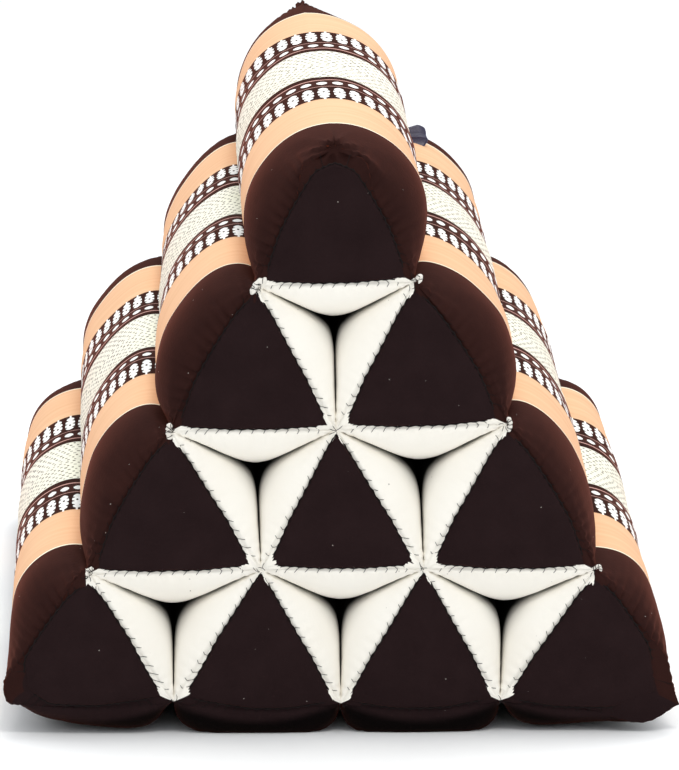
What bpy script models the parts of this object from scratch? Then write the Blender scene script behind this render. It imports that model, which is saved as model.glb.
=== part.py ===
# Thai triangle cushion: ten kapok-filled cloth tubes of three-sided section, lying in rows of
# one, two, three and four. The tubes are sewn to each other along their long edges. Their inner
# walls are undyed cotton and swell until they meet, which leaves a small three-cornered hole
# between each three tubes. The outer walls are dark and striped, and bulge into round lobes.
#
# Metres. +Z is up, +X is to the right and the end that shows faces -Y. The origin is under the
# middle of the prism, on the surface that it stands on.

import math

import bmesh
import bpy
from mathutils import Vector

# Driving dimensions
LENGTH = 0.500              # along the tubes, over both end panels
CELL = 0.084                # between two long seams of one row
ROW_RISE = 0.073            # between two rows of long seams
BASE_RISE = 0.068           # the same in the lowest row, which carries the others
SEAT = 0.0175               # the lowest long seams stand this high over the surface
GRID_MIDDLE = -0.00065      # the grid's middle, set so that the origin is under the whole prism's
ROWS = 4

# How far the filling swells each wall, measured from the flat wall between two seams
OUTER_SWELL = 0.029
INNER_SWELL = 0.0205
BASE_SWELL = 0.0225         # before the surface flattens it
SEAM_BOW = 0.0037           # the end seams of the outer walls bow out this far
FRONT_SHOULDER = 0.040      # from the front panel to where a wall is full
BACK_SHOULDER = 0.070       # the same at the back, which is filled more loosely

# How full each tube is, as a part of the swells above: near the front, at mid length, at the back
FILLING = {
    # (row, place): (front, middle, back)
    (0, 0): (0.95, 1.00, 0.88),
    (1, 0): (0.96, 0.97, 0.78),
    (1, 1): (0.95, 1.01, 0.90),
    (2, 0): (0.95, 0.98, 0.84),
    (2, 1): (0.96, 1.00, 0.90),
    (2, 2): (0.96, 1.02, 0.88),
    (3, 0): (0.96, 1.00, 0.90),
    (3, 1): (0.94, 1.01, 0.90),
    (3, 2): (0.97, 0.99, 0.88),
    (3, 3): (0.94, 0.99, 0.90),
}

# End panels: thin cotton triangles over the ends of the tubes
PANEL_THICKNESS = 0.0016
PANEL_GAP = 0.0003
PANEL_DOME = 0.0035
PANEL_SCALE = 0.975

# Clearance that keeps sewn neighbours apart
CORNER_SETBACK = 0.00025
WALL_SETBACK = 0.00024
TIP_ROUNDING = 0.004

# Mesh fineness
POINTS_PER_WALL = 10
PANEL_STEP = 2
SHOULDER_STATIONS = (0.0, 0.05, 0.15, 0.325, 0.6, 1.0)    # parts of a shoulder's length
MIDDLE_STATIONS = (0.25, 0.5, 0.72)                       # parts of the tube's length
CAP_INNER_RING = 0.55

# The long seams are sewn by hand and lie a little off the even grid (mm, right and up).
SEAM_SHIFTS = {
    # (row, place): (front right, front up, back right, back up)
    (0, 0): (-1.0, -0.6, -6.0, 0.6),
    (1, 0): (2.2, 0.1, 0.8, -2.0),
    (1, 1): (-3.6, 1.6, -1.6, -1.8),
    (2, 0): (1.0, -0.5, 4.0, -1.5),
    (2, 1): (-0.4, -0.4, 0.8, -0.4),
    (2, 2): (1.1, 2.1, -1.4, 0.2),
    (3, 0): (1.0, -0.7, 2.0, -0.5),
    (3, 1): (3.9, 0.8, 0.3, 0.8),
    (3, 2): (1.8, 0.8, 1.4, -0.6),
    (3, 3): (3.9, -0.3, 0.4, 0.5),
    (4, 0): (-0.3, 3.1, -3.5, 1.0),
    (4, 1): (1.6, 0.6, -0.8, 0.4),
    (4, 2): (2.0, -1.0, 1.0, 0.3),
    (4, 3): (-1.5, -0.1, 0.6, -0.5),
    (4, 4): (4.8, -1.5, 4.0, 0.9),
}

# Three tubes have a corner that is sewn to nothing. At mid length it rounds off into an arch.
FREE_ARCHES = {
    # for each such corner of the prism: where the arch's centre lies from it, how far the centre
    # drifts right towards the back, half width, half height and power (2 is an ellipse)
    "top": {"centre": (0.0, -0.0427), "drift": 0.0, "half_width": 0.0467,
            "half_height": 0.0467, "power": 2.0},
    "left": {"centre": (0.042, 0.026), "drift": -0.0035, "half_width": 0.0405,
             "half_height": 0.0435, "power": 2.6},
    "right": {"centre": (-0.043, 0.026), "drift": 0.004, "half_width": 0.0400,
              "half_height": 0.0435, "power": 2.6},
}

# The ribbon tab in the crease beside the top tube, near the back: a folded ribbon on its edge
TAB_FRACTION = 0.875        # along the length, from the front
TAB_SECTIONS = (
    # out from the seam, up from the seam, width, thickness (metres)
    (0.0052, 0.0031, 0.0046, 0.0020),
    (0.0095, 0.0046, 0.0075, 0.0022),
    (0.0140, 0.0056, 0.0104, 0.0030),
    (0.0190, 0.0054, 0.0120, 0.0034),
    (0.0216, 0.0054, 0.0122, 0.0028),
    (0.0224, 0.0054, 0.0118, 0.0012),
)

MATERIALS = {
    # name: (colour, roughness, metallic)
    "striped_cotton": ((0.055, 0.022, 0.017), 0.85, 0.0),
    "natural_cotton": ((0.85, 0.84, 0.80), 0.9, 0.0),
    "brown_cotton": ((0.014, 0.007, 0.007), 0.9, 0.0),
    "navy_ribbon": ((0.050, 0.045, 0.110), 0.6, 0.0),
}


def make_materials():
    """One Principled material for each cloth."""
    made = {}
    for name, (colour, roughness, metallic) in MATERIALS.items():
        material = bpy.data.materials.new(name)
        material.use_nodes = True
        shader = material.node_tree.nodes["Principled BSDF"]
        shader.inputs["Base Color"].default_value = (*colour, 1.0)
        shader.inputs["Roughness"].default_value = roughness
        shader.inputs["Metallic"].default_value = metallic
        made[name] = material
    return made


def add_object(name, bm, material):
    """Puts a finished bmesh into the scene as one smooth-shaded object."""
    bmesh.ops.recalc_face_normals(bm, faces=bm.faces)
    mesh = bpy.data.meshes.new(name)
    bm.to_mesh(mesh)
    bm.free()
    mesh.materials.append(material)
    mesh.shade_smooth()
    mesh.set_sharp_from_angle(angle=math.radians(50))
    made = bpy.data.objects.new(name, mesh)
    bpy.context.collection.objects.link(made)
    return made


def grid_point(row, place):
    """The even grid's place for a long seam, as (right, up)."""
    height = SEAT
    if row < ROWS:
        height += BASE_RISE + (ROWS - 1 - row) * ROW_RISE
    return Vector(((place - row / 2) * CELL + GRID_MIDDLE, height))


def seam_point(row, place, along):
    """Where a long seam runs, along = 0 at the front and 1 at the back."""
    front_x, front_z, back_x, back_z = SEAM_SHIFTS[(row, place)]
    shift = Vector((front_x, front_z)).lerp(Vector((back_x, back_z)), along)
    return grid_point(row, place) + shift / 1000


def is_seam(row, place):
    return 0 <= place <= row <= ROWS


def smooth_least(a, b, blend):
    """The lesser of two lengths, with the corner between them rounded off."""
    if blend <= 0:
        return min(a, b)
    overlap = max(blend - abs(a - b), 0.0) / blend
    return min(a, b) - overlap * overlap * blend / 4


def turn(vector):
    """The outward normal of an edge that runs counter-clockwise."""
    return Vector((vector.y, -vector.x))


def sewn_wall(start, end, facing, swell, bow, fullness):
    """Points from one sewn corner towards the next, on a wall that swells outwards.

    facing is the third corner of the hollow that an inner wall swells into: the wall stops at
    the middle line between itself and the wall it meets there. An outer wall has none.
    """
    edge = end - start
    chord = edge.length
    along = edge / chord
    outward = turn(along)
    radius = (chord * chord / 4 + swell * swell) / (2 * swell)
    half_angle = math.asin(chord / 2 / radius)
    if facing is not None:
        slope_start = math.tan(edge.angle(facing - start) / 2)
        slope_end = math.tan((start - end).angle(facing - end) / 2)
    points = []
    for step in range(1, POINTS_PER_WALL):
        angle = half_angle * (2 * step / POINTS_PER_WALL - 1)
        distance = chord / 2 + radius * math.sin(angle)
        full = radius * math.cos(angle) - (radius - swell)
        seam_line = bow * 4 * distance * (chord - distance) / (chord * chord)
        rise = seam_line + (full - seam_line) * fullness
        if facing is not None:
            from_corner = min(distance, chord - distance)
            blend = min(TIP_ROUNDING, from_corner / 5)
            rise = smooth_least(rise, slope_start * distance - WALL_SETBACK, blend)
            rise = smooth_least(rise, slope_end * (chord - distance) - WALL_SETBACK, blend)
        points.append(start + along * distance + outward * rise)
    return points


def arch_radius(arch, angle):
    """From the arch's centre to its curve, in one direction."""
    across = abs(math.cos(angle)) / arch["half_width"]
    upward = abs(math.sin(angle)) / arch["half_height"]
    return (across ** arch["power"] + upward ** arch["power"]) ** (-1 / arch["power"])


def free_wall(start, end, arch, centre, free_at_end, fullness):
    """Points of a wall beside a free corner, from its seam line into the arch.

    A wall that starts at the free corner also gives that corner's own point.
    """
    edge = end - start
    outward = turn(edge.normalized())
    first = math.atan2(start.y - centre.y, start.x - centre.x)
    last = math.atan2(end.y - centre.y, end.x - centre.x)
    if last < first:
        last += math.tau
    sewn = start if free_at_end else end
    sewn_angle = first if free_at_end else last
    stretch = (sewn - centre).length - arch_radius(arch, sewn_angle)
    points = []
    for step in range(1 if free_at_end else 0, POINTS_PER_WALL):
        part = step / POINTS_PER_WALL
        seam_line = start + edge * part + outward * SEAM_BOW * 4 * part * (1 - part)
        angle = first + (last - first) * part
        towards_seam = 1 - part if free_at_end else part
        radius = arch_radius(arch, angle) + stretch * towards_seam ** 4
        full = centre + Vector((math.cos(angle), math.sin(angle))) * radius
        points.append(seam_line.lerp(full, fullness))
    return points


def free_corner(row, place):
    """Which corner of the tube is sewn to nothing: its index and its arch's name."""
    if row == 0:
        return 0, "top"
    if row == ROWS - 1 and place == 0:
        return 1, "left"
    if row == ROWS - 1 and place == row:
        return 2, "right"
    return None, None


def tube_section(row, place, along, fullness):
    """The tube's outline at one station, counter-clockwise from its top corner."""
    index = [(row, place), (row + 1, place), (row + 1, place + 1)]
    corners = [seam_point(r, p, along) for r, p in index]
    middle = sum(corners, Vector((0.0, 0.0))) / 3
    free, arch_name = free_corner(row, place)
    points = []
    for side in range(3):
        after = (side + 1) % 3
        opposite = (side + 2) % 3
        start, end = corners[side], corners[after]
        if side != free:
            points.append(start + (middle - start).normalized() * CORNER_SETBACK)
        facing_row = index[side][0] + index[after][0] - index[opposite][0]
        facing_place = index[side][1] + index[after][1] - index[opposite][1]
        if free in (side, after) and not is_seam(facing_row, facing_place):
            arch = FREE_ARCHES[arch_name]
            centre = grid_point(*index[free]) + Vector(arch["centre"])
            centre.x += arch["drift"] * along
            points += free_wall(start, end, arch, centre, free == after, fullness)
        elif is_seam(facing_row, facing_place):
            facing = seam_point(facing_row, facing_place, along)
            points += sewn_wall(start, end, facing, INNER_SWELL, 0.0, fullness)
        else:
            swell = BASE_SWELL if facing_row > ROWS else OUTER_SWELL
            points += sewn_wall(start, end, None, swell, SEAM_BOW, fullness)
    for point in points:
        point.y = max(point.y, 0.0)
    return points, middle


def fullness_at(depth, length, filling):
    """How much of its full swell a wall has at one depth from the tube's front end."""
    front_filling, middle_filling, back_filling = filling
    front = min(depth / FRONT_SHOULDER, 1.0)
    back = min((length - depth) / BACK_SHOULDER, 1.0)
    shoulder = math.sqrt(1 - (1 - min(front, back)) ** 2)
    from_middle = 2 * depth / length - 1
    end_filling = front_filling if from_middle < 0 else back_filling
    return shoulder * (middle_filling + (end_filling - middle_filling) * from_middle ** 2)


def tube_end():
    """How far from the middle of the prism a tube's own end lies."""
    return LENGTH / 2 - PANEL_DOME - PANEL_THICKNESS - PANEL_GAP


def add_ring(bm, outline, y):
    return [bm.verts.new((point.x, y, point.y)) for point in outline]


def join_rings(bm, ring, other):
    for k in range(len(ring)):
        after = (k + 1) % len(ring)
        bm.faces.new((ring[k], ring[after], other[after], other[k]))


def add_cap(bm, ring, outline, middle, y, outward):
    """Closes an end with a low dome: one inner ring and a centre point."""
    rise = PANEL_DOME * (1 - CAP_INNER_RING ** 2)
    inner_outline = [middle + (point - middle) * CAP_INNER_RING for point in outline]
    inner = add_ring(bm, inner_outline, y + outward * rise)
    join_rings(bm, ring, inner)
    tip = bm.verts.new((middle.x, y + outward * PANEL_DOME, middle.y))
    for k in range(len(inner)):
        bm.faces.new((inner[k], inner[(k + 1) % len(inner)], tip))


def make_tube(row, place, material):
    """One filled tube: a closed loft from end to end, with shoulders and low domes."""
    end = tube_end()
    length = 2 * end
    depths = [part * FRONT_SHOULDER for part in SHOULDER_STATIONS]
    depths += [part * length for part in MIDDLE_STATIONS]
    depths += [length - part * BACK_SHOULDER for part in reversed(SHOULDER_STATIONS)]
    bm = bmesh.new()
    rings = []
    sections = []
    for depth in depths:
        along = depth / length
        fullness = fullness_at(depth, length, FILLING[(row, place)])
        section = tube_section(row, place, along, fullness)
        sections.append(section)
        rings.append(add_ring(bm, section[0], depth - end))
    for k in range(len(rings) - 1):
        join_rings(bm, rings[k], rings[k + 1])
    add_cap(bm, rings[0], *sections[0], -end, -1)
    add_cap(bm, rings[-1], *sections[-1], end, 1)
    return add_object(f"tube_row{row + 1}_{place + 1}", bm, material)


def make_panel(row, place, outward, material):
    """A thin domed triangle over one end of a tube; outward is -1 at the front, 1 at the back."""
    along = 0.0 if outward < 0 else 1.0
    outline, middle = tube_section(row, place, along, 0.0)
    outline = outline[::PANEL_STEP]
    bm = bmesh.new()
    layers = []
    for lift in (PANEL_GAP, PANEL_GAP + PANEL_THICKNESS):
        rings = []
        for scale in (PANEL_SCALE, CAP_INNER_RING):
            ring_outline = [middle + (point - middle) * scale for point in outline]
            y = outward * (tube_end() + lift + PANEL_DOME * (1 - scale ** 2))
            rings.append(add_ring(bm, ring_outline, y))
        tip = bm.verts.new((middle.x, outward * (tube_end() + lift + PANEL_DOME), middle.y))
        join_rings(bm, rings[0], rings[1])
        for k in range(len(rings[1])):
            bm.faces.new((rings[1][k], rings[1][(k + 1) % len(rings[1])], tip))
        layers.append(rings[0])
    join_rings(bm, layers[0], layers[1])
    side = "front" if outward < 0 else "back"
    return add_object(f"{side}_panel_row{row + 1}_{place + 1}", bm, material)


def make_tab(material):
    """The folded ribbon: narrow where the crease grips it, wider outside."""
    seam = seam_point(1, 1, TAB_FRACTION)
    y = (2 * TAB_FRACTION - 1) * tube_end()
    bm = bmesh.new()
    rings = []
    for out, up, width, thickness in TAB_SECTIONS:
        ring = []
        for across, upward in ((-1, -1), (1, -1), (1, 1), (-1, 1)):
            corner = (seam.x + out, y + across * thickness / 2, seam.y + up + upward * width / 2)
            ring.append(bm.verts.new(corner))
        rings.append(ring)
    for k in range(len(rings) - 1):
        join_rings(bm, rings[k], rings[k + 1])
    bm.faces.new(rings[0])
    bm.faces.new(rings[-1])
    return add_object("side_tab", bm, material)


def main():
    for old in list(bpy.data.objects):
        bpy.data.objects.remove(old, do_unlink=True)
    materials = make_materials()
    for row in range(ROWS):
        for place in range(row + 1):
            outside = place in (0, row)
            cloth = "striped_cotton" if outside else "natural_cotton"
            make_tube(row, place, materials[cloth])
            make_panel(row, place, -1, materials["brown_cotton"])
            make_panel(row, place, 1, materials["brown_cotton"])
    make_tab(materials["navy_ribbon"])


main()
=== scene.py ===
import math
import random

import bpy
import numpy as np
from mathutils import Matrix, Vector


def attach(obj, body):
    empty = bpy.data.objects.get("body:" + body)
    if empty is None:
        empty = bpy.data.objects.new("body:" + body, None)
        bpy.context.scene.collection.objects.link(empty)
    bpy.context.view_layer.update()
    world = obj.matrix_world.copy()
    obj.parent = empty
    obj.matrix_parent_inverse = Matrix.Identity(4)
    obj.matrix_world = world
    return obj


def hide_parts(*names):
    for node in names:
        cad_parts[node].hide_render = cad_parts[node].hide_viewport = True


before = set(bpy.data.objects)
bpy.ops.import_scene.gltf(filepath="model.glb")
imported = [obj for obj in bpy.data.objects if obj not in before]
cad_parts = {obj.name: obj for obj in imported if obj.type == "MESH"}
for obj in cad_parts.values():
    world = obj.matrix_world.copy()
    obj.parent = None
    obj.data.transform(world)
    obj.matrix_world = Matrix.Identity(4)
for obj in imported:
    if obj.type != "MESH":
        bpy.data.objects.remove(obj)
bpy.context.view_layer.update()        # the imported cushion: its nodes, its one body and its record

# The cushion: ten kapok-filled tubes in rows of one, two, three and four. Metres, +Z up, front to -Y.
cushion = {
    "length": 0.500,        # over both end panels
    "cell": 0.084,          # between two long seams of a row
    "rowRise": 0.073,
    "baseRise": 0.068,
    "seat": 0.0175,         # height of the lowest seams
    "gridMiddle": -0.00065,
    "rows": 4,
    "innerSwell": 0.0205,
    "baseWall": (0.0215, 0.50, 3.2, 3.2),        # as the outer walls below
    "seamBow": 0.0037,
    # how far from each end a wall reaches its full swell: (front, back)
    "shoulders": {"cover": (0.040, 0.036), "undyed": (0.020, 0.030), "base": (0.011, 0.022)},
    "tubeEnd": 0.2446,      # from the middle to the seam that holds an end panel
    "cornerSetback": 0.00025,
    "wallSetback": 0.00024,
    "tipRounding": 0.004,
    "pointsPerWall": 80,    # five for each stitch
}

# How full each tube is: near the front, at mid length, at the back
filling = {
    (0, 0): (0.95, 1.00, 0.88),
    (1, 0): (1.00, 1.02, 1.00),
    (1, 1): (1.00, 1.03, 1.00),
    (2, 0): (1.00, 1.02, 1.00),
    (2, 1): (0.96, 1.00, 0.90),
    (2, 2): (1.00, 1.05, 1.00),
    (3, 0): (0.96, 1.00, 0.88),
    (3, 1): (0.94, 1.01, 0.90),
    (3, 2): (0.97, 0.99, 0.88),
    (3, 3): (0.94, 0.99, 0.98),
}

# Each outer wall between two seams: how far it swells, where it is widest from the upper seam down,
# and how bluntly it runs out above and below that; at the front, then at the back
outerWalls = {
    (1, 0): ((0.0254, 0.52, 2.15, 1.85), (0.0192, 0.54, 1.75, 1.85)),
    (1, 1): ((0.0236, 0.54, 1.75, 1.80), (0.0285, 0.50, 1.95, 1.80)),
    (2, 0): ((0.0222, 0.42, 2.45, 1.55), (0.0276, 0.56, 1.95, 1.90)),
    (2, 2): ((0.0193, 0.42, 1.95, 1.65), (0.0258, 0.44, 2.05, 1.70)),
}

# How far each hand-sewn long seam lies off the even grid, in mm
seamShifts = {
    # (row, place): (front right, front up, back right, back up)
    (0, 0): (-1.0, -0.6, -6.0, -2.0),
    (1, 0): (2.2, 0.1, 0.8, -2.0),
    (1, 1): (-3.6, 1.6, -1.6, -1.8),
    (2, 0): (1.0, -0.5, 4.0, -1.5),
    (2, 1): (-0.4, -0.4, 0.8, -0.4),
    (2, 2): (1.1, 2.1, -1.4, 0.2),
    (3, 0): (1.0, -0.7, 2.0, -0.5),
    (3, 1): (3.9, 0.8, 0.3, 0.8),
    (3, 2): (1.8, 0.8, 1.4, -0.6),
    (3, 3): (3.9, -0.3, 0.4, 0.5),
    (4, 0): (-0.3, 3.1, -3.5, 1.0),
    (4, 1): (1.6, 0.6, -0.8, 0.4),
    (4, 2): (2.0, -1.0, 1.0, 0.3),
    (4, 3): (-1.5, -0.1, 0.6, -0.5),
    (4, 4): (4.8, -1.5, 4.0, 0.9),
}

# The three corners that are sewn to nothing round off into arches at mid length. Hold is how long the
# cover's wall and the base's wall keep to the arch before they turn in to the seam.
freeArches = {
    "top": {"centre": (0.0006, -0.0427), "drift": 0.0, "halfWidth": 0.0453,
            "halfHeight": 0.0436, "power": 2.0, "basePower": 2.0, "hold": (4, 4), "seamSide": 0},
    "left": {"centre": (0.042, 0.026), "drift": -0.0035, "halfWidth": 0.0392,
             "halfHeight": 0.0435, "power": 2.6, "basePower": 5.0, "hold": (9, 14), "seamSide": 1},
    "right": {"centre": (-0.043, 0.026), "drift": 0.004, "halfWidth": 0.0400,
              "halfHeight": 0.0435, "power": 2.5, "basePower": 5.0, "hold": (4, 14), "seamSide": -1},
}

tubePlaces = [(row, place) for row in range(cushion["rows"]) for place in range(row + 1)]


# Node helper and colours

def toLinear(hexColour, alpha=1.0):
    parts = [int(hexColour[k:k + 2], 16) / 255 for k in (1, 3, 5)]
    return [c / 12.92 if c <= 0.04045 else ((c + 0.055) / 1.055) ** 2.4 for c in parts] + [alpha]


def addNode(tree, kind, inputs, **settings):
    # inputs are by socket name or number, each a value, a socket, or a node whose first output is meant
    node = tree.nodes.new("ShaderNode" + kind)
    for name, value in settings.items():
        setattr(node, name, value)
    for socket, value in inputs.items():
        if isinstance(value, bpy.types.Node):
            value = value.outputs[0]
        if isinstance(value, bpy.types.NodeSocket):
            tree.links.new(value, node.inputs[socket])
        else:
            node.inputs[socket].default_value = value
    return node


def rampOf(tree, factor, stops, interpolation="CONSTANT"):
    # stops are (position, colour); the node's first two stops are reused
    ramp = addNode(tree, "ValToRGB", {0: factor})
    ramp.color_ramp.interpolation = interpolation
    elements = ramp.color_ramp.elements
    while len(elements) < len(stops):
        elements.new(0.5)
    for element, (position, colour) in zip(elements, stops):
        element.position = position
    for element, (position, colour) in zip(elements, stops):
        element.color = toLinear(colour) if isinstance(colour, str) else (colour, colour, colour, 1)
    return ramp


def newMaterial(name, roughness, **sockets):
    material = bpy.data.materials.new(name)
    material.use_nodes = True
    shader = material.node_tree.nodes["Principled BSDF"]
    shader.inputs["Roughness"].default_value = roughness
    for socket, value in sockets.items():
        shader.inputs[socket.replace("_", " ")].default_value = value
    return material, material.node_tree, shader


# Undyed hand-loomed cotton, washed but not bleached: matt, near white, with specks of seed husk
naturalLook = {
    "colour": "#F5F2EA",
    "shade": "#EDE7DB",
    "husk": "#6E655C",
    "huskSpacing": 0.0075,
    "huskSize": 0.055,          # of the spacing
    # the next colour and its depths are painted shade: down the holes between three tubes the cloth is
    # drawn near black
    "holeShade": "#1E1A18",          # down the holes between three tubes, where no light gets
    "holeShadeFrom": (0.010, 0.030),
    # painted shade in the creases: how far a wall must press on its neighbour before it is drawn dark
    "creaseShadeFrom": (0.0007, 0.0045),
    "roughness": 0.92,
}


def makeNaturalCotton():
    material, tree, shader = newMaterial("undyedCotton", naturalLook["roughness"],
                                         Specular_IOR_Level=0.15)
    place = addNode(tree, "TexCoord", {}).outputs["Object"]
    soft = addNode(tree, "TexNoise", {"Vector": place, "Scale": 28.0, "Detail": 3.0})
    body = addNode(tree, "Mix", {0: soft.outputs["Fac"], 6: toLinear(naturalLook["colour"]),
                                 7: toLinear(naturalLook["shade"])}, data_type="RGBA")
    cells = addNode(tree, "TexVoronoi", {"Vector": place, "Scale": 1 / naturalLook["huskSpacing"]})
    close = addNode(tree, "Math", {0: cells.outputs["Distance"], 1: naturalLook["huskSize"]},
                    operation="LESS_THAN")
    pick = addNode(tree, "SeparateColor", {0: cells.outputs["Color"]})
    some = addNode(tree, "Math", {0: pick.outputs[0], 1: 0.45}, operation="LESS_THAN")
    husk = addNode(tree, "Math", {0: close, 1: some}, operation="MULTIPLY")
    pale = addNode(tree, "Math", {0: husk, 1: pick.outputs[1]}, operation="MULTIPLY")
    specked = addNode(tree, "Mix", {0: pale, 6: body.outputs[2], 7: toLinear(naturalLook["husk"])},
                      data_type="RGBA")
    cloth = addNode(tree, "SeparateXYZ", {0: addNode(tree, "UVMap", {}, uv_map="coverCloth")})
    centred = addNode(tree, "Math", {0: cloth.outputs[1], 1: 0.5}, operation="SUBTRACT")
    fromMiddle = addNode(tree, "Math", {0: centred}, operation="ABSOLUTE")
    # painted shade: the cloth darkens with depth down the holes
    near, far = naturalLook["holeShadeFrom"]
    depth = addNode(tree, "MapRange", {0: fromMiddle, 1: 0.5 - near / cushion["length"],
                                       2: 0.5 - far / cushion["length"]}, interpolation_type="SMOOTHSTEP")
    # painted shade along the creases, by how hard the wall presses on the next tube
    press = addNode(tree, "MapRange", {0: cloth.outputs[0], 1: naturalLook["creaseShadeFrom"][0],
                                       2: naturalLook["creaseShadeFrom"][1]})
    dim = addNode(tree, "Math", {0: depth, 1: press}, operation="MAXIMUM")
    colour = addNode(tree, "Mix", {0: dim, 6: specked.outputs[2], 7: toLinear(naturalLook["holeShade"])},
                     data_type="RGBA")
    tree.links.new(colour.outputs[2], shader.inputs["Base Color"])
    fine = addNode(tree, "TexNoise", {"Vector": place, "Scale": 900.0, "Detail": 2.0})
    bump = addNode(tree, "Bump", {"Strength": 0.35, "Distance": 0.0003, "Height": fine.outputs["Fac"]})
    tree.links.new(bump.outputs[0], shader.inputs["Normal"])
    return material


# Brown-black dyed cotton, plain weave and slightly brushed: very dark face on, reddish fuzz at the rims
brownLook = {
    "colour": "#1B1011",
    "worn": "#271A1B",
    "coverColour": "#1F0F0E",
    "coverWorn": "#341C18",
    # painted shadow: the base cloth goes near black along the floor
    "underside": "#020101",       # along the floor, in the cushion's own shadow
    "lint": "#CFC8C0",
    "lintSpacing": 0.0085,
    "lintSize": 0.026,
    "roughness": 0.88,
    "fuzz": "#C8603F",
    "fuzzWeight": 0.22,
    "gloss": 0.06,
}


def brownColour(tree, place, colour, worn):
    soft = addNode(tree, "TexNoise", {"Vector": place, "Scale": 60.0, "Detail": 9.0})
    body = addNode(tree, "Mix", {0: soft.outputs["Fac"], 6: toLinear(colour),
                                 7: toLinear(worn)}, data_type="RGBA")
    cells = addNode(tree, "TexVoronoi", {"Vector": place, "Scale": 1 / brownLook["lintSpacing"]})
    lint = addNode(tree, "Math", {0: cells.outputs["Distance"], 1: brownLook["lintSize"]},
                   operation="LESS_THAN")
    return addNode(tree, "Mix", {0: lint, 6: body.outputs[2], 7: toLinear(brownLook["lint"])},
                   data_type="RGBA").outputs[2]


def makeBrownCotton():
    material, tree, shader = newMaterial("brownCotton", brownLook["roughness"],
                                         Specular_IOR_Level=brownLook["gloss"],
                                         Sheen_Weight=brownLook["fuzzWeight"] * 0.5,
                                         Sheen_Roughness=0.4,
                                         Sheen_Tint=toLinear(brownLook["fuzz"]))
    place = addNode(tree, "TexCoord", {}).outputs["Object"]
    cloth = addNode(tree, "SeparateXYZ", {0: addNode(tree, "UVMap", {}, uv_map="coverCloth")})
    dyed = brownColour(tree, place, brownLook["colour"], brownLook["worn"])
    # painted floor shadow, mixed in by the base's cloth coordinate
    colour = addNode(tree, "Mix", {0: cloth.outputs[0], 6: dyed, 7: toLinear(brownLook["underside"])},
                     data_type="RGBA")
    tree.links.new(colour.outputs[2], shader.inputs["Base Color"])
    fine = addNode(tree, "TexNoise", {"Vector": place, "Scale": 500.0, "Detail": 3.0})
    bump = addNode(tree, "Bump", {"Strength": 0.7, "Distance": 0.0006, "Height": fine.outputs["Fac"]})
    tree.links.new(bump.outputs[0], shader.inputs["Normal"])
    return material


# Hand-woven cover cloth: brown ground with bands in extra weft, the same from each end to the middle
coverLook = {
    "flowerPitch": 0.0084,      # along the band, from flower to flower
    "roughness": 0.85,
    # band edges as parts of the way from an end of the cushion to its middle
    "bands": (
        (0.000, "brown"), (0.216, "#FFF3DC"), (0.227, "peach"), (0.528, "#120A09"),
        (0.688, "#D3A79C"), (0.695, "#1C1110"), (0.708, "#2E1B18"), (0.760, "#1C1110"),
        (0.773, "#CFA197"), (0.780, "#130B0A"), (0.818, "cream"),
    ),
    "peach": "#DDAF88",
    "peachLight": "#F1CBA4",
    "cream": "#F4F3E8",
    "creamShade": "#E9EAD6",
    "dash": "#33372A",
    "flower": "#F7F8F4",
    "pistil": "#1F2422",
}

# Half width of the white threads across one flower, charted from the peach edge to the cream edge.
# The second value of each pair is a part of the pitch.
flowerChart = (
    (0.528, 0.080), (0.547, 0.070), (0.553, 0.230), (0.560, 0.300), (0.570, 0.290),
    (0.574, 0.160), (0.578, 0.170), (0.583, 0.350), (0.594, 0.380), (0.602, 0.350),
    (0.606, 0.200), (0.610, 0.210), (0.615, 0.370), (0.627, 0.390), (0.636, 0.360),
    (0.640, 0.190), (0.644, 0.200), (0.649, 0.320), (0.660, 0.290), (0.670, 0.140),
    (0.674, 0.000), (0.716, 0.000), (0.720, 0.180), (0.729, 0.330), (0.740, 0.340),
    (0.749, 0.180), (0.753, 0.000),
)


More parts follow.
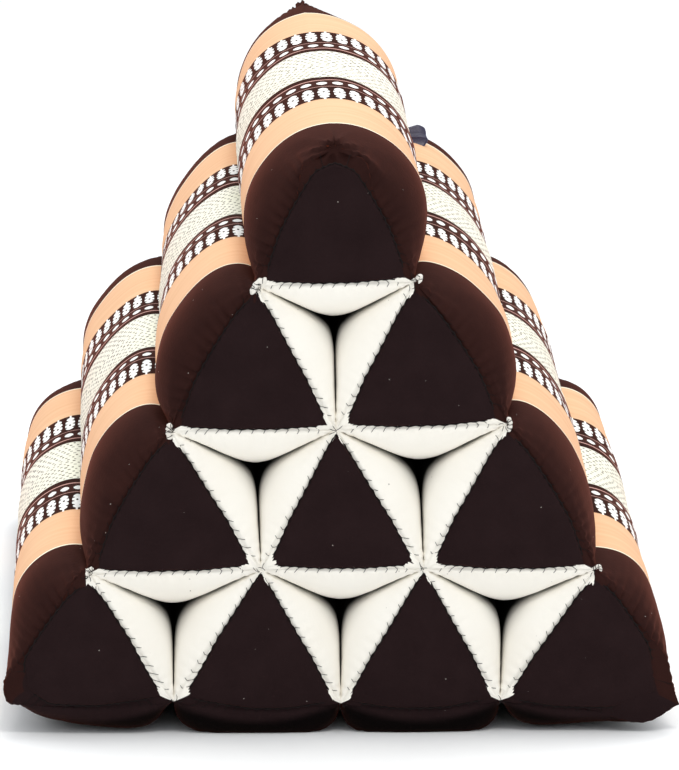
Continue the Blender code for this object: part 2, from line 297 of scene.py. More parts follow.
def makeStripedCotton():
    material, tree, shader = newMaterial("stripedCoverCotton", coverLook["roughness"],
                                         Specular_IOR_Level=brownLook["gloss"],
                                         Sheen_Weight=brownLook["fuzzWeight"],
                                         Sheen_Roughness=0.4,
                                         Sheen_Tint=toLinear(brownLook["fuzz"]))
    place = addNode(tree, "TexCoord", {}).outputs["Object"]
    cloth = addNode(tree, "SeparateXYZ", {0: addNode(tree, "UVMap", {}, uv_map="coverCloth")})
    around, along = cloth.outputs[0], cloth.outputs[1]

    # the woven lines waver a little
    waver = addNode(tree, "TexNoise", {"Vector": place, "Scale": 35.0, "Detail": 1.0})
    wavered = addNode(tree, "Math", {0: waver.outputs["Fac"], 1: 0.006, 2: -0.003},
                      operation="MULTIPLY_ADD")
    centred = addNode(tree, "Math", {0: along, 1: 0.5}, operation="SUBTRACT")
    fromMiddle = addNode(tree, "Math", {0: centred}, operation="ABSOLUTE")
    fromEnd = addNode(tree, "Math", {0: fromMiddle, 1: -2.0, 2: 1.0}, operation="MULTIPLY_ADD")
    band = addNode(tree, "Math", {0: fromEnd, 1: wavered}, operation="ADD")

    stops = []
    for position, colour in coverLook["bands"]:
        stops.append((position, coverLook.get(colour, "#000000") if colour[0] != "#" else colour))
    ground = rampOf(tree, band, stops)

    # brown ends, with the fuzz and lint of the plain brown cloth
    isBrown = addNode(tree, "Math", {0: band, 1: coverLook["bands"][1][0]}, operation="LESS_THAN")
    ends = brownColour(tree, place, brownLook["coverColour"], brownLook["coverWorn"])
    withBrown = addNode(tree, "Mix", {0: isBrown, 6: ground, 7: ends}, data_type="RGBA")

    # peach: weft yarns of slightly different dye lots run round the tube as streaks
    stretched = addNode(tree, "CombineXYZ", {0: addNode(tree, "Math", {0: around, 1: 14.0},
                                                        operation="MULTIPLY"),
                                             1: addNode(tree, "Math", {0: along, 1: 90.0},
                                                        operation="MULTIPLY")})
    streaks = addNode(tree, "TexNoise", {"Vector": stretched, "Scale": 1.0, "Detail": 3.0})
    peach = addNode(tree, "Mix", {0: streaks.outputs["Fac"], 6: toLinear(coverLook["peach"]),
                                  7: toLinear(coverLook["peachLight"])}, data_type="RGBA")
    afterPeach = addNode(tree, "Math", {0: band, 1: coverLook["bands"][2][0]}, operation="GREATER_THAN")
    beforeFlowers = addNode(tree, "Math", {0: band, 1: coverLook["bands"][3][0]},
                            operation="LESS_THAN")
    isPeach = addNode(tree, "Math", {0: afterPeach, 1: beforeFlowers}, operation="MULTIPLY")
    withPeach = addNode(tree, "Mix", {0: isPeach, 6: withBrown.outputs[2], 7: peach.outputs[2]},
                        data_type="RGBA")

    # flowers and dashes: white where the distance from a flower's middle is less than the chart's
    repeat = addNode(tree, "Math", {0: around, 1: 1 / coverLook["flowerPitch"], 2: 0.5},
                     operation="MULTIPLY_ADD")
    inRepeat = addNode(tree, "Math", {0: repeat}, operation="FRACT")
    offMiddle = addNode(tree, "Math", {0: inRepeat, 1: 0.5}, operation="SUBTRACT")
    side = addNode(tree, "Math", {0: offMiddle}, operation="ABSOLUTE")
    chartStart, chartEnd = flowerChart[0][0], flowerChart[-1][0]
    onChart = addNode(tree, "MapRange", {0: band, 1: chartStart, 2: chartEnd})
    span = chartEnd - chartStart
    chart = rampOf(tree, onChart, [((p - chartStart) / span, w) for p, w in flowerChart], "LINEAR")
    inside = addNode(tree, "Math", {0: side, 1: chart}, operation="LESS_THAN")
    pastStart = addNode(tree, "Math", {0: band, 1: chartStart}, operation="GREATER_THAN")
    white = addNode(tree, "Math", {0: inside, 1: pastStart}, operation="MULTIPLY")
    withFlowers = addNode(tree, "Mix", {0: white, 6: withPeach.outputs[2],
                                        7: toLinear(coverLook["flower"])}, data_type="RGBA")
    # the dark dot in each flower
    fromPistil = addNode(tree, "Math", {0: band, 1: -0.6215}, operation="ADD")
    pistilLong = addNode(tree, "Math", {0: fromPistil, 1: 11.0}, operation="MULTIPLY")
    pistilPlace = addNode(tree, "CombineXYZ", {0: offMiddle, 1: pistilLong})
    pistilRadius = addNode(tree, "VectorMath", {0: pistilPlace}, operation="LENGTH")
    pistil = addNode(tree, "Math", {0: pistilRadius.outputs["Value"], 1: 0.085},
                     operation="LESS_THAN")
    withPistils = addNode(tree, "Mix", {0: pistil, 6: withFlowers.outputs[2],
                                        7: toLinear(coverLook["pistil"])}, data_type="RGBA")

    # cream middle: rows of short floats in grey-green yarn, no two rows alike
    rowPitch, dashPitch = 0.0400, 0.0022
    rowPlace = addNode(tree, "Math", {0: fromMiddle, 1: 2 / rowPitch, 2: 0.5},
                       operation="MULTIPLY_ADD")
    rowNumber = addNode(tree, "Math", {0: rowPlace}, operation="FLOOR")
    inRow = addNode(tree, "Math", {0: rowPlace}, operation="FRACT")
    isBack = addNode(tree, "Math", {0: along, 1: 0.5}, operation="GREATER_THAN")
    rowKey = addNode(tree, "Math", {0: isBack, 1: 17.0, 2: rowNumber}, operation="MULTIPLY_ADD")
    dashPlace = addNode(tree, "Math", {0: around, 1: 1 / dashPitch,
                                       2: addNode(tree, "Math", {0: rowKey, 1: 0.37},
                                                  operation="MULTIPLY")}, operation="MULTIPLY_ADD")
    dashNumber = addNode(tree, "Math", {0: dashPlace}, operation="FLOOR")
    inDash = addNode(tree, "Math", {0: dashPlace}, operation="FRACT")
    chance = addNode(tree, "TexWhiteNoise", {0: addNode(tree, "CombineXYZ", {0: dashNumber,
                                                                            1: rowKey})},
                     noise_dimensions="3D")
    chances = addNode(tree, "SeparateColor", {0: chance.outputs["Color"]})
    dashLength = addNode(tree, "Math", {0: chances.outputs[0], 1: 0.22, 2: 0.28},
                         operation="MULTIPLY_ADD")
    dashSide = addNode(tree, "Math", {0: addNode(tree, "Math", {0: inDash, 1: 0.5},
                                                 operation="SUBTRACT")}, operation="ABSOLUTE")
    inLength = addNode(tree, "Math", {0: dashSide, 1: dashLength}, operation="LESS_THAN")
    # every other float lies half a row further on, with a little play
    halfNumber = addNode(tree, "Math", {0: addNode(tree, "Math", {0: dashNumber, 1: 0.5},
                                                   operation="MULTIPLY")}, operation="FRACT")
    play = addNode(tree, "Math", {0: chances.outputs[1], 1: 0.12, 2: 0.19}, operation="MULTIPLY_ADD")
    rowMiddle = addNode(tree, "Math", {0: halfNumber, 1: 1.0, 2: play}, operation="MULTIPLY_ADD")
    rowSide = addNode(tree, "Math", {0: addNode(tree, "Math", {0: inRow, 1: rowMiddle},
                                                operation="SUBTRACT")}, operation="ABSOLUTE")
    inThickness = addNode(tree, "Math", {0: rowSide, 1: 0.12}, operation="LESS_THAN")
    float1 = addNode(tree, "Math", {0: inLength, 1: inThickness}, operation="MULTIPLY")
    strong = addNode(tree, "Math", {0: chances.outputs[2], 1: 0.45, 2: 0.45},
                     operation="MULTIPLY_ADD")
    isCream = addNode(tree, "Math", {0: band, 1: coverLook["bands"][-1][0]}, operation="GREATER_THAN")
    creamTone = addNode(tree, "TexNoise", {"Vector": place, "Scale": 22.0, "Detail": 1.0})
    cream = addNode(tree, "Mix", {0: creamTone.outputs["Fac"], 6: toLinear(coverLook["cream"]),
                                  7: toLinear(coverLook["creamShade"])}, data_type="RGBA")
    withCream = addNode(tree, "Mix", {0: isCream, 6: withPistils.outputs[2], 7: cream.outputs[2]},
                        data_type="RGBA")
    dashMask = addNode(tree, "Math", {0: float1, 1: addNode(tree, "Math", {0: strong, 1: isCream},
                                                            operation="MULTIPLY")},
                       operation="MULTIPLY")
    colour = addNode(tree, "Mix", {0: dashMask, 6: withCream.outputs[2],
                                   7: toLinear(coverLook["dash"])}, data_type="RGBA")
    tree.links.new(colour.outputs[2], shader.inputs["Base Color"])

    # the extra weft stands a little proud of the ground, over the fine fuzz
    fine = addNode(tree, "TexNoise", {"Vector": place, "Scale": 700.0, "Detail": 2.0})
    raised = addNode(tree, "Math", {0: white, 1: 0.5, 2: fine.outputs["Fac"]},
                     operation="MULTIPLY_ADD")
    bump = addNode(tree, "Bump", {"Strength": 0.35, "Distance": 0.0004, "Height": raised})
    tree.links.new(bump.outputs[0], shader.inputs["Normal"])
    return material


# Twisted cotton sewing thread, black and undyed: matt, with the twist as a fine slanting ridge
def makeThread(name, colour, light):
    material, tree, shader = newMaterial(name, 0.8, Specular_IOR_Level=0.15)
    place = addNode(tree, "TexCoord", {}).outputs["Object"]
    uneven = addNode(tree, "TexNoise", {"Vector": place, "Scale": 400.0, "Detail": 3.0})
    mixed = addNode(tree, "Mix", {0: uneven.outputs["Fac"], 6: toLinear(colour), 7: toLinear(light)},
                    data_type="RGBA")
    tree.links.new(mixed.outputs[2], shader.inputs["Base Color"])
    bump = addNode(tree, "Bump", {"Strength": 0.5, "Distance": 0.0002, "Height": uneven.outputs["Fac"]})
    tree.links.new(bump.outputs[0], shader.inputs["Normal"])
    return material


# Navy polyester satin ribbon: smooth warp floats catch the light in streaks, violet at a slant
ribbonLook = {"colour": "#1D1A30", "edge": "#2E2A4E", "roughness": 0.38}


def makeRibbon():
    material, tree, shader = newMaterial("navySatinRibbon", ribbonLook["roughness"],
                                         Sheen_Weight=0.3, Sheen_Roughness=0.3,
                                         Sheen_Tint=toLinear("#8A7FD0"))
    place = addNode(tree, "TexCoord", {}).outputs["Object"]
    streak = addNode(tree, "Mapping", {"Vector": place, "Scale": (1800.0, 1800.0, 60.0)})
    floats = addNode(tree, "TexNoise", {"Vector": streak, "Scale": 1.0, "Detail": 1.0})
    # the lighter streaks mixed into the colour are painted highlights, where the warp floats catch the
    # light
    mixed = addNode(tree, "Mix", {0: floats.outputs["Fac"], 6: toLinear(ribbonLook["colour"]),
                                  7: toLinear(ribbonLook["edge"])}, data_type="RGBA")
    tree.links.new(mixed.outputs[2], shader.inputs["Base Color"])
    bump = addNode(tree, "Bump", {"Strength": 0.5, "Distance": 0.0001, "Height": floats.outputs["Fac"]})
    tree.links.new(bump.outputs[0], shader.inputs["Normal"])
    return material


coverCotton = makeStripedCotton()
undyedCotton = makeNaturalCotton()
brownCotton = makeBrownCotton()
blackThread = makeThread("blackThread", "#080505", "#1E1616")
undyedThread = makeThread("undyedThread", "#F4F1EA", "#DAD4C8")
navyRibbon = makeRibbon()
print("materials made")


# Mesh helpers

def addMesh(name, points, faces, materials, slots=None, clothUv=None):
    mesh = bpy.data.meshes.new(name)
    mesh.from_pydata([tuple(p) for p in points], [], faces)
    for material in materials:
        mesh.materials.append(material)
    if slots is not None:
        mesh.polygons.foreach_set("material_index", np.array(slots, np.int32))
    if clothUv is not None:
        layer = mesh.uv_layers.new(name="coverCloth")
        layer.data.foreach_set("uv", np.array(clothUv, np.float32).ravel())
    mesh.validate()
    mesh.shade_smooth()
    made = bpy.data.objects.new(name, mesh)
    bpy.context.collection.objects.link(made)
    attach(made, "root")
    return made


def sweepThreads(name, paths, normals, radius, material, sides=5):
    # paths and normals are arrays of threads by points by 3; every thread tapers at its ends
    paths = np.array(paths, float)
    normals = np.array(normals, float)
    tangents = np.gradient(paths, axis=1)
    tangents /= np.maximum(np.linalg.norm(tangents, axis=2, keepdims=True), 1e-9)
    across = np.cross(tangents, normals)
    across /= np.maximum(np.linalg.norm(across, axis=2, keepdims=True), 1e-9)
    upward = np.cross(across, tangents)
    count, steps = paths.shape[:2]
    # one radius for all, or one for each point of each thread
    thickness = np.zeros((count, steps)) + radius
    thickness[:, 0] *= 0.35
    thickness[:, -1] *= 0.35
    angles = np.arange(sides) * math.tau / sides
    ring = (across[:, :, None, :] * np.cos(angles)[None, None, :, None]
            + upward[:, :, None, :] * np.sin(angles)[None, None, :, None])
    points = (paths[:, :, None, :] + ring * thickness[:, :, None, None]).reshape(-1, 3)
    faces = []
    for thread in range(count):
        base = thread * steps * sides
        for step in range(steps - 1):
            low = base + step * sides
            for k in range(sides):
                after = (k + 1) % sides
                faces.append((low + k, low + after, low + sides + after, low + sides + k))
        faces.append(tuple(base + k for k in reversed(range(sides))))
        faces.append(tuple(base + (steps - 1) * sides + k for k in range(sides)))
    return addMesh(name, points, faces, [material])


def addSheetMesh(name, grid, thickness, material):
    # a closed thin cloth: the grid's surface, pushed half its thickness to each side
    alongWay = np.gradient(grid, axis=0)
    sideWay = np.gradient(grid, axis=1)
    normals = np.cross(alongWay, sideWay)
    normals /= np.maximum(np.linalg.norm(normals, axis=2, keepdims=True), 1e-12)
    rows, columns = grid.shape[:2]
    points = np.concatenate([(grid + normals * thickness / 2).reshape(-1, 3),
                             (grid - normals * thickness / 2).reshape(-1, 3)])
    size = rows * columns
    faces = []
    for r in range(rows - 1):
        for c in range(columns - 1):
            a = r * columns + c
            faces.append((a, a + columns, a + columns + 1, a + 1))
            faces.append((size + a, size + a + 1, size + a + columns + 1, size + a + columns))
    border = [c for c in range(columns)]
    border += [r * columns + columns - 1 for r in range(1, rows)]
    border += [(rows - 1) * columns + c for c in range(columns - 2, -1, -1)]
    border += [r * columns for r in range(rows - 2, 0, -1)]
    for k, a in enumerate(border):
        b = border[(k + 1) % len(border)]
        faces.append((a, b, size + b, size + a))
    return addMesh(name, points, faces, [material])


# Sections of the tubes

def gridPoint(row, place):
    height = cushion["seat"]
    if row < cushion["rows"]:
        height += cushion["baseRise"] + (cushion["rows"] - 1 - row) * cushion["rowRise"]
    return Vector(((place - row / 2) * cushion["cell"] + cushion["gridMiddle"], height))


def seamPoint(row, place, along):
    frontRight, frontUp, backRight, backUp = seamShifts[(row, place)]
    shift = Vector((frontRight, frontUp)).lerp(Vector((backRight, backUp)), along)
    return gridPoint(row, place) + shift / 1000


def isSeam(row, place):
    return 0 <= place <= row <= cushion["rows"]


def turned(vector):
    return Vector((vector.y, -vector.x))


def roundedLeast(a, b, blend):
    if blend <= 0:
        return min(a, b)
    overlap = max(blend - abs(a - b), 0.0) / blend
    return min(a, b) - overlap * overlap * blend / 4


def sewnWall(start, end, facing, swell, bow, fullness):
    # swells outwards between two sewn corners; an inner wall stops at the middle line it shares
    edge = end - start
    chord = edge.length
    along = edge / chord
    outward = turned(along)
    radius = (chord * chord / 4 + swell * swell) / (2 * swell)
    halfAngle = math.asin(chord / 2 / radius)
    if facing is not None:
        slopeStart = math.tan(edge.angle(facing - start) / 2)
        slopeEnd = math.tan((start - end).angle(facing - end) / 2)
    count = cushion["pointsPerWall"]
    points = []
    for step in range(1, count):
        angle = halfAngle * (2 * step / count - 1)
        distance = chord / 2 + radius * math.sin(angle)
        full = radius * math.cos(angle) - (radius - swell)
        seamLine = bow * 4 * distance * (chord - distance) / (chord * chord)
        rise = seamLine + (full - seamLine) * fullness
        if facing is not None:
            blend = min(cushion["tipRounding"], min(distance, chord - distance) / 5)
            setback = cushion["wallSetback"]
            rise = roundedLeast(rise, slopeStart * distance - setback, blend)
            rise = roundedLeast(rise, slopeEnd * (chord - distance) - setback, blend)
        points.append(start + along * distance + outward * rise)
    return points


def coverWall(start, end, shape, upperFirst, fullness):
    # an outer wall between two seams, its points evenly spaced over the cloth
    swell, widest, above, below = shape
    part = (1 - np.cos(np.linspace(0, math.pi, 241))) / 2
    down = part if upperFirst else 1 - part
    reach = np.where(down < widest, down / widest, (1 - down) / (1 - widest))
    blunt = np.where(down < widest, above, below)
    rise = swell * (1 - (1 - reach) ** blunt) ** (1 / blunt)
    edge = end - start
    runs = np.hypot(np.diff(part) * edge.length, np.diff(rise))
    way = np.concatenate([[0.0], np.cumsum(runs)]) / runs.sum()
    outward = turned(edge.normalized())
    points = []
    for step in range(1, cushion["pointsPerWall"]):
        even = step / cushion["pointsPerWall"]
        seamLine = cushion["seamBow"] * 4 * even * (1 - even)
        across = even + (float(np.interp(even, way, part)) - even) * fullness
        out = seamLine + (float(np.interp(even, way, rise)) - seamLine) * fullness
        points.append(start + edge * across + outward * out)
    return points


def archRadius(arch, angle):
    across = abs(math.cos(angle)) / arch["halfWidth"]
    upward = abs(math.sin(angle)) / arch["halfHeight"]
    underSeam = math.sin(angle) < 0 and math.cos(angle) * arch["seamSide"] > 0
    power = arch["basePower" if underSeam else "power"]
    return (across ** power + upward ** power) ** (-1 / power)


def freeWall(start, end, arch, centre, freeAtEnd, fullness, hold):
    # beside a free corner: from the seam line into the arch; one that starts there gives its point too
    edge = end - start
    outward = turned(edge.normalized())
    first = math.atan2(start.y - centre.y, start.x - centre.x)
    last = math.atan2(end.y - centre.y, end.x - centre.x)
    if last < first:
        last += math.tau
    sewn, sewnAngle = (start, first) if freeAtEnd else (end, last)
    stretch = (sewn - centre).length - archRadius(arch, sewnAngle)
    count = cushion["pointsPerWall"]
    points = []
    for step in range(1 if freeAtEnd else 0, count):
        part = step / count
        seamLine = start + edge * part + outward * cushion["seamBow"] * 4 * part * (1 - part)
        angle = first + (last - first) * part
        towardsSeam = 1 - part if freeAtEnd else part
        reach = archRadius(arch, angle) + stretch * towardsSeam ** hold
        full = centre + Vector((math.cos(angle), math.sin(angle))) * reach
        points.append(seamLine.lerp(full, fullness))
    return points


def freeCorner(row, place):
    if row == 0:
        return 0, "top"
    if row == cushion["rows"] - 1 and place == 0:
        return 1, "left"
    if row == cushion["rows"] - 1 and place == row:
        return 2, "right"
    return None, None


def wallKinds(row, place):
    # cover, undyed or base, for the three walls counter-clockwise from the top corner
    index = [(row, place), (row + 1, place), (row + 1, place + 1)]
    kinds = []
    for side in range(3):
        after, opposite = (side + 1) % 3, (side + 2) % 3
        facing = [index[side][k] + index[after][k] - index[opposite][k] for k in (0, 1)]
        if isSeam(*facing):
            kinds.append("undyed")
        else:
            kinds.append("base" if facing[0] > cushion["rows"] else "cover")
    return kinds


def tubeSection(row, place, along, fullness):
    # the outline counter-clockwise from the top corner, and the triangle's middle
    index = [(row, place), (row + 1, place), (row + 1, place + 1)]
    corners = [seamPoint(r, p, along) for r, p in index]
    middle = sum(corners, Vector((0.0, 0.0))) / 3
    free, archName = freeCorner(row, place)
    points = []
    for side in range(3):
        after, opposite = (side + 1) % 3, (side + 2) % 3
        start, end = corners[side], corners[after]
        if side != free:
            points.append(start + (middle - start).normalized() * cushion["cornerSetback"])
        facing = [index[side][k] + index[after][k] - index[opposite][k] for k in (0, 1)]
        if free in (side, after) and not isSeam(*facing):
            arch = freeArches[archName]
            centre = gridPoint(*index[free]) + Vector(arch["centre"])
            centre.x += arch["drift"] * along
            hold = arch["hold"][int(facing[0] > cushion["rows"])]
            points += freeWall(start, end, arch, centre, free == after, fullness, hold)
        elif isSeam(*facing):
            facingPoint = seamPoint(*facing, along)
            points += sewnWall(start, end, facingPoint, cushion["innerSwell"], 0.0, fullness)
        elif facing[0] > cushion["rows"]:
            points += coverWall(start, end, cushion["baseWall"], True, fullness)
        else:
            front, back = outerWalls[(row, place)]
            shape = [a + (b - a) * along for a, b in zip(front, back)]
            points += coverWall(start, end, shape, side == 0, fullness)
    for point in points:
        point.y = max(point.y, 0.0)
    return points, middle


# Filled tubes: cover, puckers along the hand-sewn seams and the unevenness of loose kapok
tubeLook = {
    "shoulderTurns": (0, 1.2, 2.4, 3.6, 5, 7, 9.5, 12.5, 16, 20, 25, 31, 38, 46, 55, 65, 76, 88),
    "outerStep": 0.005,       # between rings along the middle of an outer tube
    "innerStep": 0.030,       # the same where no one sees the walls
    "lipHeight": 0.0009,      # the rim puffs up beside the panel's seam
    "lipReach": 0.0018,
    "scallop": 0.00040,       # and bulges between stitches
    "puckerDepth": {"cover": 0.00180, "undyed": 0.00040, "base": 0.00040},
    "puckerReach": {"cover": 0.009, "undyed": 0.005, "base": 0.007},
    "cornerFold": 0.0013,
    "cornerFoldReach": 0.016,
    "uneven": 0.0008,
    "sideClothScale": 1.14,   # the cover of the slanting tubes is woven a little tighter
    "stitchPitch": 5,         # points of the wall for one stitch
}

# Places where the filling or the sewing pulls the cloth off the even shape: (metres)
pulls = (
    # tube, centre, spread, move
    {"tube": (3, 0), "centre": (-0.171, -0.245, 0.016), "spread": (0.010, 0.03, 0.006),
     "move": (0.0042, 0.001, -0.003)},
    {"tube": (3, 0), "centre": (-0.158, -0.240, 0.030), "spread": (0.03, 0.03, 0.010),
     "move": (-0.0022, 0.0, 0.0)},
    {"tube": (3, 3), "centre": (0.160, -0.235, 0.040), "spread": (0.02, 0.04, 0.014),
     "move": (0.0030, 0.0, 0.0)},
    {"tube": (0, 0), "centre": (-0.002, -0.246, 0.3035), "spread": (0.011, 0.006, 0.007),
     "move": (0.0, 0.0065, -0.0035)},
    {"tube": (0, 0), "centre": (-0.0150, -0.2446, 0.2900), "spread": (0.011, 0.008, 0.010),
     "move": (-0.0022, 0.0, 0.0030)},
    {"tube": (0, 0), "centre": (0.0110, -0.2446, 0.2900), "spread": (0.011, 0.008, 0.010),
     "move": (0.0022, 0.0, 0.0030)},
    {"tube": (0, 0), "centre": (-0.002, -0.238, 0.3060), "spread": (0.024, 0.007, 0.009),
     "move": (0.0, -0.0030, 0.0006)},
    {"tube": (0, 0), "centre": (0.020, 0.236, 0.298), "spread": (0.020, 0.035, 0.022),
     "move": (-0.0035, -0.001, -0.0040)},
    {"tube": (0, 0), "centre": (-0.006, 0.240, 0.306), "spread": (0.016, 0.020, 0.010),
     "move": (0.0, 0.0, 0.0014)},
    {"tube": (3, 3), "centre": (0.150, -0.240, 0.012), "spread": (0.018, 0.016, 0.010),
     "move": (0.0030, 0.0, -0.0050)},
    {"tube": (3, 3), "centre": (0.140, 0.220, 0.086), "spread": (0.030, 0.050, 0.025),
     "move": (0.0012, 0.0, 0.0012)},
    {"tube": (3, 0), "centre": (-0.130, 0.0, 0.083), "spread": (0.017, 0.35, 0.012),
     "move": (-0.0010, 0.0, 0.0035)},
    {"tube": (3, 0), "centre": (-0.150, -0.240, 0.012), "spread": (0.018, 0.016, 0.010),
     "move": (-0.0010, 0.0, -0.0012)},
)


def pulled(tube, points):
    moved = points.copy()
    for pull in pulls:
        if pull["tube"] == tube:
            apart = (points - np.array(pull["centre"])) / np.array(pull["spread"])
            weight = np.exp(-(apart ** 2).sum(axis=-1))
            moved += weight[..., None] * np.array(pull["move"])
    return moved


def ringDepths(isOuter):
    length = 2 * cushion["tubeEnd"]
    turns = [math.radians(t) for t in tubeLook["shoulderTurns"]]
    frontShoulder, backShoulder = cushion["shoulders"]["cover"]
    front = [frontShoulder * (1 - math.cos(t)) for t in turns]
    back = [length - backShoulder * (1 - math.cos(t)) for t in reversed(turns)]
    step = tubeLook["outerStep"] if isOuter else tubeLook["innerStep"]
    count = int((back[0] - front[-1]) / step)
    middle = [front[-1] + (back[0] - front[-1]) * k / count for k in range(1, count)]
    return front + middle + back


def fullnessAt(depth, length, fill, kind):
    frontShoulder, backShoulder = cushion["shoulders"][kind]
    front = min(depth / frontShoulder, 1.0)
    back = min((length - depth) / backShoulder, 1.0)
    shoulder = math.sqrt(max(0.0, 1 - (1 - min(front, back)) ** 2))
    fromMiddle = 2 * depth / length - 1
    endFill = fill[0] if fromMiddle < 0 else fill[2]
    return shoulder * (fill[1] + (endFill - fill[1]) * fromMiddle ** 2)


def surfaceNormals(grid):
    alongWay = np.gradient(grid, axis=0)
    roundWay = np.roll(grid, -1, axis=1) - np.roll(grid, 1, axis=1)
    normals = np.cross(alongWay, roundWay)
    return normals / np.maximum(np.linalg.norm(normals, axis=2, keepdims=True), 1e-12)


def unevenness(grid, seed):
    # a few long waves of cloth and filling, the same each run
    rng = np.random.default_rng(seed)
    total = np.zeros(grid.shape[:2])
    for wavelength, weight in ((0.110, 1.0), (0.070, 0.8), (0.042, 0.45), (0.026, 0.22)):
        for _ in range(3):
            direction = rng.normal(size=3)
            direction /= np.linalg.norm(direction)
            turns = grid @ direction * math.tau / wavelength
            total += weight * np.sin(turns + rng.uniform(0, math.tau)) / 3
    return total


tubes = {}


def makeTube(row, place):
    kinds = wallKinds(row, place)
    isOuter = "cover" in kinds
    length = 2 * cushion["tubeEnd"]
    depths = ringDepths(isOuter)
    free, _ = freeCorner(row, place)
    corners = [(row, place), (row + 1, place), (row + 1, place + 1)]
    rings = []
    middles = []
    pressing = []
    for depth in depths:
        outline = []
        pressed = []
        for wall, kind in enumerate(kinds):
            span = slice(wall * cushion["pointsPerWall"], (wall + 1) * cushion["pointsPerWall"])
            fullness = fullnessAt(depth, length, filling[(row, place)], kind)
            section, middle = tubeSection(row, place, depth / length, fullness)
            strip = section[span]
            corner = seamPoint(*corners[wall], depth / length)
            after = seamPoint(*corners[(wall + 1) % 3], depth / length)
            if kind == "undyed":
                loose = sewnWall(corner, after, None, cushion["innerSwell"], 0.0, fullness)
                pressed += [0.0] + [(a - b).length for a, b in zip(loose, strip[1:])]
            else:
                pressed += [0.0] * len(strip)
            if kind == "base" and free is not None:
                # towards the free corner the base swells as late as the cover does
                late = fullnessAt(depth, length, filling[(row, place)], "cover")
                lateStrip = tubeSection(row, place, depth / length, late)[0][span]
                for k in range(len(strip)):
                    towards = (k + 1) / len(strip)
                    if free == wall:
                        towards = 1 - towards
                    strip[k] = strip[k].lerp(lateStrip[k], min(1.0, towards * 1.6) ** 2)
            outline += strip
        rings.append([(p.x, depth - cushion["tubeEnd"], p.y) for p in outline])
        middles.append(middle)
        pressing.append(pressed + pressed[:1])
    grid = np.array(rings)
    around = grid.shape[1]
    perWall = cushion["pointsPerWall"]
    wallOf = np.arange(around) // perWall
    part = (np.arange(around) % perWall) / perWall
    isInner = np.array([kinds[w] == "undyed" for w in wallOf])
    isCover = np.array([kinds[w] == "cover" for w in wallOf])
    isBase = np.array([kinds[w] == "base" for w in wallOf])

    normals = surfaceNormals(grid)
    steps = np.linalg.norm(np.diff(grid, axis=0), axis=2)
    fromFront = np.vstack([np.zeros(around), np.cumsum(steps, axis=0)])
    fromBack = fromFront[-1] - fromFront
    nearEnd = np.minimum(fromFront, fromBack)
    atFront = fromFront < fromBack
    rng = np.random.default_rng(100 * row + place)
    perStitch = tubeLook["stitchPitch"]
    stitchPart = (np.arange(around) % perStitch) / perStitch
    bulgeBetween = 0.5 - 0.5 * np.cos(math.tau * stitchPart)

    # rim lip with scallops between the stitches
    reach = nearEnd / tubeLook["lipReach"]
    lip = reach * np.exp(1 - reach) * tubeLook["lipHeight"] * (0.55 + 0.45 * bulgeBetween)
    # puckers run back from the stitches and die away
    stitchNumber = np.arange(around) // perStitch
    strength = np.where(atFront, rng.uniform(0.3, 1.3, around)[stitchNumber],
                        rng.uniform(0.3, 1.3, around)[stitchNumber])
    puckerReach = np.array([tubeLook["puckerReach"][kinds[w]] for w in wallOf])
    puckerDepth = np.array([tubeLook["puckerDepth"][kinds[w]] for w in wallOf])
    fade = np.exp(-nearEnd / puckerReach) * np.minimum(nearEnd / 0.002, 1.0)
    pucker = -puckerDepth * (1 - bulgeBetween) * strength * fade
    if free:
        # a free corner is turned in smoothly
        fromFree = np.abs(np.arange(around) - free * perWall) / perWall
        pucker *= np.clip(fromFree * 2.5 - 0.2, 0.1, 1.0)[None, :]
    # folds fan out from each end of a wall, where the cloth is drawn into the corner
    chord = np.linalg.norm(grid[0, 1] - grid[0, 0]) * perWall
    alongWall = np.minimum(part, 1 - part) * chord
    fan = np.arctan2(nearEnd, alongWall[None, :] + 1e-6)
    apart = np.hypot(nearEnd, alongWall[None, :])
    cornerPhase = rng.uniform(0, math.tau, 6)[(2 * wallOf + (part > 0.5)).astype(int)]
    foldFade = np.exp(-apart / tubeLook["cornerFoldReach"]) * np.minimum(apart / 0.003, 1.0)
    ridge = (1 - np.abs(np.sin(fan * 6.5 + cornerPhase))) ** 2
    folds = (ridge - 0.3) * foldFade * tubeLook["cornerFold"]
    folds *= np.where(isInner, 0.5, 1.0)[None, :]
    if row == 0:
        # the top corner is drawn in hardest
        isTop = ((wallOf == 0) & (part < 0.5)) | ((wallOf == 2) & (part >= 0.5))
        folds *= np.where(isTop, 3.2, 1.0)[None, :]
    # long waves over the whole outer wall
    waves = unevenness(grid, 7 * row + place) * tubeLook["uneven"]
    waves *= np.where(isCover, np.sin(math.pi * part) ** 0.5, 0.0)[None, :]
    waves *= np.minimum(nearEnd / 0.02, 1.0)

    offset = lip + pucker + folds + waves
    # where two inner walls press on each other, or the cushion on its seat, nothing stands proud
    pressed = np.clip((nearEnd - 0.008) / 0.012, 0.0, 1.0)
    offset = np.where(isInner[None, :], offset * (1 - pressed), offset)
    offset = np.where(isBase[None, :], offset * 0.3, offset)
    grid = grid + normals * offset[:, :, None]

    # the rim itself leans over the groove between the stitches
    middleArray = np.array([(m.x, m.y) for m in middles])
    for ring in (0, -1):
        inward = middleArray[ring][None, :] - grid[ring][:, [0, 2]]
        inward /= np.linalg.norm(inward, axis=1, keepdims=True)
        lean = tubeLook["scallop"] * bulgeBetween[:, None]
        grid[ring][:, [0, 2]] += inward * lean
    grid = pulled((row, place), grid)
    grid[:, :, 2] = np.maximum(grid[:, :, 2], 0.0)

